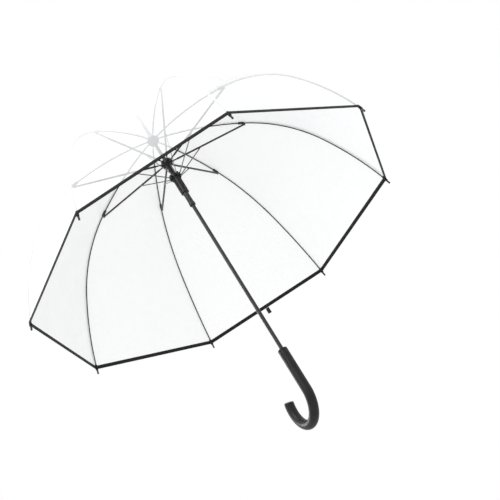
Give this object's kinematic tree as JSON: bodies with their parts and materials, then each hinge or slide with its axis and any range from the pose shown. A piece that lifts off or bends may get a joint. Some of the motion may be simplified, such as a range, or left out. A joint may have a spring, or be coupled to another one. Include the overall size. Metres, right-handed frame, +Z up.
{
  "type": "clear bubble umbrella",
  "caption": "Stick umbrella with a deep clear film dome, black folding ribs and a crook handle, shown open.",
  "frame": {"origin": "on the shaft's axis, level with the lowest point of the hook", "axes": "+Z up along the shaft to the ferrule's tip, +X from the shaft towards the open side of the hook"},
  "size_m": [0.9264, 0.9264, 0.93],
  "materials": {
    "shaft_steel": "satin",
    "black_plastic": "satin",
    "spring_steel": "satin",
    "grip_rubber": "soft matte",
    "clear_film": "clear flexible film",
    "hem_fabric": "woven",
    "strap_fabric": "woven",
    "rib_fibreglass": "satin",
    "frame_steel": "satin",
    "link_steel": "satin"
  },
  "bodies": {
    "shaft": {"shaft_tube": "shaft_steel", "ferrule": "black_plastic", "ferrule_tip": "black_plastic", "crown_notch": "black_plastic", "crown_wire": "spring_steel", "crown_cap": "black_plastic", "grip": "grip_rubber", "button_spring": "spring_steel", "pull_wire": "spring_steel", "shaft_plug": "black_plastic", "canopy_film": "clear_film", "hem_tape": "hem_fabric", "tie_strap": "strap_fabric"},
    "runner": {"runner_body": "black_plastic", "runner_sleeve": "black_plastic", "sleeve_collar": "black_plastic", "kick_spring": "spring_steel"},
    "hub_ring": {"upper_ring": "black_plastic"},
    "button": {"release_button": "black_plastic"},
    "catch": {"catch_blade": "spring_steel"},
    "rib_root_1": {"rib_inner_1": "rib_fibreglass"},
    "rib_bend_1": {"rib_middle_1": "rib_fibreglass"},
    "rib_end_1": {"rib_outer_1": "rib_fibreglass"},
    "stretcher_1": {"stretcher_1": "frame_steel"},
    "strut_1": {"strut_1": "link_steel"},
    "rib_root_2": {"rib_inner_2": "rib_fibreglass"},
    "rib_bend_2": {"rib_middle_2": "rib_fibreglass"},
    "rib_end_2": {"rib_outer_2": "rib_fibreglass"},
    "stretcher_2": {"stretcher_2": "frame_steel"},
    "strut_2": {"strut_2": "link_steel"},
    "rib_root_3": {"rib_inner_3": "rib_fibreglass"},
    "rib_bend_3": {"rib_middle_3": "rib_fibreglass"},
    "rib_end_3": {"rib_outer_3": "rib_fibreglass"},
    "stretcher_3": {"stretcher_3": "frame_steel"},
    "strut_3": {"strut_3": "link_steel"},
    "rib_root_4": {"rib_inner_4": "rib_fibreglass"},
    "rib_bend_4": {"rib_middle_4": "rib_fibreglass"},
    "rib_end_4": {"rib_outer_4": "rib_fibreglass"},
    "stretcher_4": {"stretcher_4": "frame_steel"},
    "strut_4": {"strut_4": "link_steel"},
    "rib_root_5": {"rib_inner_5": "rib_fibreglass"},
    "rib_bend_5": {"rib_middle_5": "rib_fibreglass"},
    "rib_end_5": {"rib_outer_5": "rib_fibreglass"},
    "stretcher_5": {"stretcher_5": "frame_steel"},
    "strut_5": {"strut_5": "link_steel"},
    "rib_root_6": {"rib_inner_6": "rib_fibreglass"},
    "rib_bend_6": {"rib_middle_6": "rib_fibreglass"},
    "rib_end_6": {"rib_outer_6": "rib_fibreglass"},
    "stretcher_6": {"stretcher_6": "frame_steel"},
    "strut_6": {"strut_6": "link_steel"},
    "rib_root_7": {"rib_inner_7": "rib_fibreglass"},
    "rib_bend_7": {"rib_middle_7": "rib_fibreglass"},
    "rib_end_7": {"rib_outer_7": "rib_fibreglass"},
    "stretcher_7": {"stretcher_7": "frame_steel"},
    "strut_7": {"strut_7": "link_steel"},
    "rib_root_8": {"rib_inner_8": "rib_fibreglass"},
    "rib_bend_8": {"rib_middle_8": "rib_fibreglass"},
    "rib_end_8": {"rib_outer_8": "rib_fibreglass"},
    "stretcher_8": {"stretcher_8": "frame_steel"},
    "strut_8": {"strut_8": "link_steel"}
  },
  "joints": [
    {"name": "runner_slide", "type": "slide", "parent": "shaft", "child": "runner", "axis": [0, 0, -1], "range_m": [0, 0.3386], "deforming": ["canopy_film", "hem_tape", "tie_strap"]},
    {"name": "hub_slide", "type": "slide", "parent": "shaft", "child": "hub_ring", "axis": [0, 0, -1], "range_m": [0, 0.3688], "deforming": ["kick_spring"]},
    {"name": "button_press", "type": "slide", "parent": "shaft", "child": "button", "axis": [-1, 0, 0], "range_m": [0, 0.0028], "stiffness_N_per_m": 900, "springref_m": -0.001, "deforming": ["button_spring"]},
    {"name": "catch_retract", "type": "slide", "parent": "shaft", "child": "catch", "axis": [-1, 0, 0], "range_m": [0, 0.0024]},
    {"name": "rib_hinge_1", "type": "hinge", "parent": "shaft", "child": "rib_root_1", "pos_m": [0.01182, -0.00208, 0.828], "axis": [0.1736, 0.9848, 0], "range_deg": [0, 76]},
    {"name": "rib_flex_upper_1", "type": "hinge", "parent": "rib_root_1", "child": "rib_bend_1", "pos_m": [0.23051, -0.04065, 0.7812], "axis": [0.1736, 0.9848, 0], "range_deg": [-25.7, 0]},
    {"name": "rib_flex_lower_1", "type": "hinge", "parent": "rib_bend_1", "child": "rib_end_1", "pos_m": [0.38209, -0.06737, 0.65068], "axis": [0.1736, 0.9848, 0], "range_deg": [-27, 0]},
    {"name": "stretcher_hinge_1", "type": "hinge", "parent": "rib_root_1", "child": "stretcher_1", "pos_m": [0.22905, -0.04039, 0.77749], "axis": [0.1736, 0.9848, 0], "range_deg": [-158, 0]},
    {"name": "strut_hinge_1", "type": "hinge", "parent": "stretcher_1", "child": "strut_1", "pos_m": [0.09559, -0.01685, 0.75921], "axis": [0.1736, 0.9848, 0], "range_deg": [0, 27.3]},
    {"name": "rib_hinge_2", "type": "hinge", "parent": "shaft", "child": "rib_root_2", "pos_m": [0.00983, 0.00688, 0.828], "axis": [-0.5736, 0.8192, 0], "range_deg": [0, 76]},
    {"name": "rib_flex_upper_2", "type": "hinge", "parent": "rib_root_2", "child": "rib_bend_2", "pos_m": [0.19174, 0.13426, 0.7812], "axis": [-0.5736, 0.8192, 0], "range_deg": [-25.7, 0]},
    {"name": "rib_flex_lower_2", "type": "hinge", "parent": "rib_bend_2", "child": "rib_end_2", "pos_m": [0.31782, 0.22254, 0.65068], "axis": [-0.5736, 0.8192, 0], "range_deg": [-27, 0]},
    {"name": "stretcher_hinge_2", "type": "hinge", "parent": "rib_root_2", "child": "stretcher_2", "pos_m": [0.19052, 0.1334, 0.77749], "axis": [-0.5736, 0.8192, 0], "range_deg": [-158, 0]},
    {"name": "strut_hinge_2", "type": "hinge", "parent": "stretcher_2", "child": "strut_2", "pos_m": [0.07951, 0.05567, 0.75921], "axis": [-0.5736, 0.8192, 0], "range_deg": [0, 27.3]},
    {"name": "rib_hinge_3", "type": "hinge", "parent": "shaft", "child": "rib_root_3", "pos_m": [0.00208, 0.01182, 0.828], "axis": [-0.9848, 0.1736, 0], "range_deg": [0, 76]},
    {"name": "rib_flex_upper_3", "type": "hinge", "parent": "rib_root_3", "child": "rib_bend_3", "pos_m": [0.04065, 0.23051, 0.7812], "axis": [-0.9848, 0.1736, 0], "range_deg": [-25.7, 0]},
    {"name": "rib_flex_lower_3", "type": "hinge", "parent": "rib_bend_3", "child": "rib_end_3", "pos_m": [0.06737, 0.38209, 0.65068], "axis": [-0.9848, 0.1736, 0], "range_deg": [-27, 0]},
    {"name": "stretcher_hinge_3", "type": "hinge", "parent": "rib_root_3", "child": "stretcher_3", "pos_m": [0.04039, 0.22905, 0.77749], "axis": [-0.9848, 0.1736, 0], "range_deg": [-158, 0]},
    {"name": "strut_hinge_3", "type": "hinge", "parent": "stretcher_3", "child": "strut_3", "pos_m": [0.01685, 0.09559, 0.75921], "axis": [-0.9848, 0.1736, 0], "range_deg": [0, 27.3]},
    {"name": "rib_hinge_4", "type": "hinge", "parent": "shaft", "child": "rib_root_4", "pos_m": [-0.00688, 0.00983, 0.828], "axis": [-0.8192, -0.5736, 0], "range_deg": [0, 76]},
    {"name": "rib_flex_upper_4", "type": "hinge", "parent": "rib_root_4", "child": "rib_bend_4", "pos_m": [-0.13426, 0.19174, 0.7812], "axis": [-0.8192, -0.5736, 0], "range_deg": [-25.7, 0]},
    {"name": "rib_flex_lower_4", "type": "hinge", "parent": "rib_bend_4", "child": "rib_end_4", "pos_m": [-0.22254, 0.31782, 0.65068], "axis": [-0.8192, -0.5736, 0], "range_deg": [-27, 0]},
    {"name": "stretcher_hinge_4", "type": "hinge", "parent": "rib_root_4", "child": "stretcher_4", "pos_m": [-0.1334, 0.19052, 0.77749], "axis": [-0.8192, -0.5736, 0], "range_deg": [-158, 0]},
    {"name": "strut_hinge_4", "type": "hinge", "parent": "stretcher_4", "child": "strut_4", "pos_m": [-0.05567, 0.07951, 0.75921], "axis": [-0.8192, -0.5736, 0], "range_deg": [0, 27.3]},
    {"name": "rib_hinge_5", "type": "hinge", "parent": "shaft", "child": "rib_root_5", "pos_m": [-0.01182, 0.00208, 0.828], "axis": [-0.1736, -0.9848, 0], "range_deg": [0, 76]},
    {"name": "rib_flex_upper_5", "type": "hinge", "parent": "rib_root_5", "child": "rib_bend_5", "pos_m": [-0.23051, 0.04065, 0.7812], "axis": [-0.1736, -0.9848, 0], "range_deg": [-25.7, 0]},
    {"name": "rib_flex_lower_5", "type": "hinge", "parent": "rib_bend_5", "child": "rib_end_5", "pos_m": [-0.38209, 0.06737, 0.65068], "axis": [-0.1736, -0.9848, 0], "range_deg": [-27, 0]},
    {"name": "stretcher_hinge_5", "type": "hinge", "parent": "rib_root_5", "child": "stretcher_5", "pos_m": [-0.22905, 0.04039, 0.77749], "axis": [-0.1736, -0.9848, 0], "range_deg": [-158, 0]},
    {"name": "strut_hinge_5", "type": "hinge", "parent": "stretcher_5", "child": "strut_5", "pos_m": [-0.09559, 0.01685, 0.75921], "axis": [-0.1736, -0.9848, 0], "range_deg": [0, 27.3]},
    {"name": "rib_hinge_6", "type": "hinge", "parent": "shaft", "child": "rib_root_6", "pos_m": [-0.00983, -0.00688, 0.828], "axis": [0.5736, -0.8192, 0], "range_deg": [0, 76]},
    {"name": "rib_flex_upper_6", "type": "hinge", "parent": "rib_root_6", "child": "rib_bend_6", "pos_m": [-0.19174, -0.13426, 0.7812], "axis": [0.5736, -0.8192, 0], "range_deg": [-25.7, 0]},
    {"name": "rib_flex_lower_6", "type": "hinge", "parent": "rib_bend_6", "child": "rib_end_6", "pos_m": [-0.31782, -0.22254, 0.65068], "axis": [0.5736, -0.8192, 0], "range_deg": [-27, 0]},
    {"name": "stretcher_hinge_6", "type": "hinge", "parent": "rib_root_6", "child": "stretcher_6", "pos_m": [-0.19052, -0.1334, 0.77749], "axis": [0.5736, -0.8192, 0], "range_deg": [-158, 0]},
    {"name": "strut_hinge_6", "type": "hinge", "parent": "stretcher_6", "child": "strut_6", "pos_m": [-0.07951, -0.05567, 0.75921], "axis": [0.5736, -0.8192, 0], "range_deg": [0, 27.3]},
    {"name": "rib_hinge_7", "type": "hinge", "parent": "shaft", "child": "rib_root_7", "pos_m": [-0.00208, -0.01182, 0.828], "axis": [0.9848, -0.1736, 0], "range_deg": [0, 76]},
    {"name": "rib_flex_upper_7", "type": "hinge", "parent": "rib_root_7", "child": "rib_bend_7", "pos_m": [-0.04065, -0.23051, 0.7812], "axis": [0.9848, -0.1736, 0], "range_deg": [-25.7, 0]},
    {"name": "rib_flex_lower_7", "type": "hinge", "parent": "rib_bend_7", "child": "rib_end_7", "pos_m": [-0.06737, -0.38209, 0.65068], "axis": [0.9848, -0.1736, 0], "range_deg": [-27, 0]},
    {"name": "stretcher_hinge_7", "type": "hinge", "parent": "rib_root_7", "child": "stretcher_7", "pos_m": [-0.04039, -0.22905, 0.77749], "axis": [0.9848, -0.1736, 0], "range_deg": [-158, 0]},
    {"name": "strut_hinge_7", "type": "hinge", "parent": "stretcher_7", "child": "strut_7", "pos_m": [-0.01685, -0.09559, 0.75921], "axis": [0.9848, -0.1736, 0], "range_deg": [0, 27.3]},
    {"name": "rib_hinge_8", "type": "hinge", "parent": "shaft", "child": "rib_root_8", "pos_m": [0.00688, -0.00983, 0.828], "axis": [0.8192, 0.5736, 0], "range_deg": [0, 76]},
    {"name": "rib_flex_upper_8", "type": "hinge", "parent": "rib_root_8", "child": "rib_bend_8", "pos_m": [0.13426, -0.19174, 0.7812], "axis": [0.8192, 0.5736, 0], "range_deg": [-25.7, 0]},
    {"name": "rib_flex_lower_8", "type": "hinge", "parent": "rib_bend_8", "child": "rib_end_8", "pos_m": [0.22254, -0.31782, 0.65068], "axis": [0.8192, 0.5736, 0], "range_deg": [-27, 0]},
    {"name": "stretcher_hinge_8", "type": "hinge", "parent": "rib_root_8", "child": "stretcher_8", "pos_m": [0.1334, -0.19052, 0.77749], "axis": [0.8192, 0.5736, 0], "range_deg": [-158, 0]},
    {"name": "strut_hinge_8", "type": "hinge", "parent": "stretcher_8", "child": "strut_8", "pos_m": [0.05567, -0.07951, 0.75921], "axis": [0.8192, 0.5736, 0], "range_deg": [0, 27.3]}
  ],
  "couplings": [
    {"joint": "hub_slide", "follows": "runner_slide", "ratio": 1.0833},
    {"joint": "catch_retract", "follows": "button_press", "ratio": 0.78571},
    {"joint": "rib_hinge_1", "follows": "runner_slide", "rad_per_m": 3.9071},
    {"joint": "rib_flex_upper_1", "follows": "runner_slide", "rad_per_m": -1.3144},
    {"joint": "rib_flex_lower_1", "follows": "runner_slide", "rad_per_m": -1.3814},
    {"joint": "stretcher_hinge_1", "follows": "runner_slide", "rad_per_m": -8.1287},
    {"joint": "strut_hinge_1", "follows": "runner_slide", "rad_per_m": 1.3969},
    {"joint": "rib_hinge_2", "follows": "runner_slide", "rad_per_m": 3.9071},
    {"joint": "rib_flex_upper_2", "follows": "runner_slide", "rad_per_m": -1.3144},
    {"joint": "rib_flex_lower_2", "follows": "runner_slide", "rad_per_m": -1.3814},
    {"joint": "stretcher_hinge_2", "follows": "runner_slide", "rad_per_m": -8.1287},
    {"joint": "strut_hinge_2", "follows": "runner_slide", "rad_per_m": 1.3969},
    {"joint": "rib_hinge_3", "follows": "runner_slide", "rad_per_m": 3.9071},
    {"joint": "rib_flex_upper_3", "follows": "runner_slide", "rad_per_m": -1.3144},
    {"joint": "rib_flex_lower_3", "follows": "runner_slide", "rad_per_m": -1.3814},
    {"joint": "stretcher_hinge_3", "follows": "runner_slide", "rad_per_m": -8.1287},
    {"joint": "strut_hinge_3", "follows": "runner_slide", "rad_per_m": 1.3969},
    {"joint": "rib_hinge_4", "follows": "runner_slide", "rad_per_m": 3.9071},
    {"joint": "rib_flex_upper_4", "follows": "runner_slide", "rad_per_m": -1.3144},
    {"joint": "rib_flex_lower_4", "follows": "runner_slide", "rad_per_m": -1.3814},
    {"joint": "stretcher_hinge_4", "follows": "runner_slide", "rad_per_m": -8.1287},
    {"joint": "strut_hinge_4", "follows": "runner_slide", "rad_per_m": 1.3969},
    {"joint": "rib_hinge_5", "follows": "runner_slide", "rad_per_m": 3.9071},
    {"joint": "rib_flex_upper_5", "follows": "runner_slide", "rad_per_m": -1.3144},
    {"joint": "rib_flex_lower_5", "follows": "runner_slide", "rad_per_m": -1.3814},
    {"joint": "stretcher_hinge_5", "follows": "runner_slide", "rad_per_m": -8.1287},
    {"joint": "strut_hinge_5", "follows": "runner_slide", "rad_per_m": 1.3969},
    {"joint": "rib_hinge_6", "follows": "runner_slide", "rad_per_m": 3.9071},
    {"joint": "rib_flex_upper_6", "follows": "runner_slide", "rad_per_m": -1.3144},
    {"joint": "rib_flex_lower_6", "follows": "runner_slide", "rad_per_m": -1.3814},
    {"joint": "stretcher_hinge_6", "follows": "runner_slide", "rad_per_m": -8.1287},
    {"joint": "strut_hinge_6", "follows": "runner_slide", "rad_per_m": 1.3969},
    {"joint": "rib_hinge_7", "follows": "runner_slide", "rad_per_m": 3.9071},
    {"joint": "rib_flex_upper_7", "follows": "runner_slide", "rad_per_m": -1.3144},
    {"joint": "rib_flex_lower_7", "follows": "runner_slide", "rad_per_m": -1.3814},
    {"joint": "stretcher_hinge_7", "follows": "runner_slide", "rad_per_m": -8.1287},
    {"joint": "strut_hinge_7", "follows": "runner_slide", "rad_per_m": 1.3969},
    {"joint": "rib_hinge_8", "follows": "runner_slide", "rad_per_m": 3.9071},
    {"joint": "rib_flex_upper_8", "follows": "runner_slide", "rad_per_m": -1.3144},
    {"joint": "rib_flex_lower_8", "follows": "runner_slide", "rad_per_m": -1.3814},
    {"joint": "stretcher_hinge_8", "follows": "runner_slide", "rad_per_m": -8.1287},
    {"joint": "strut_hinge_8", "follows": "runner_slide", "rad_per_m": 1.3969}
  ]
}
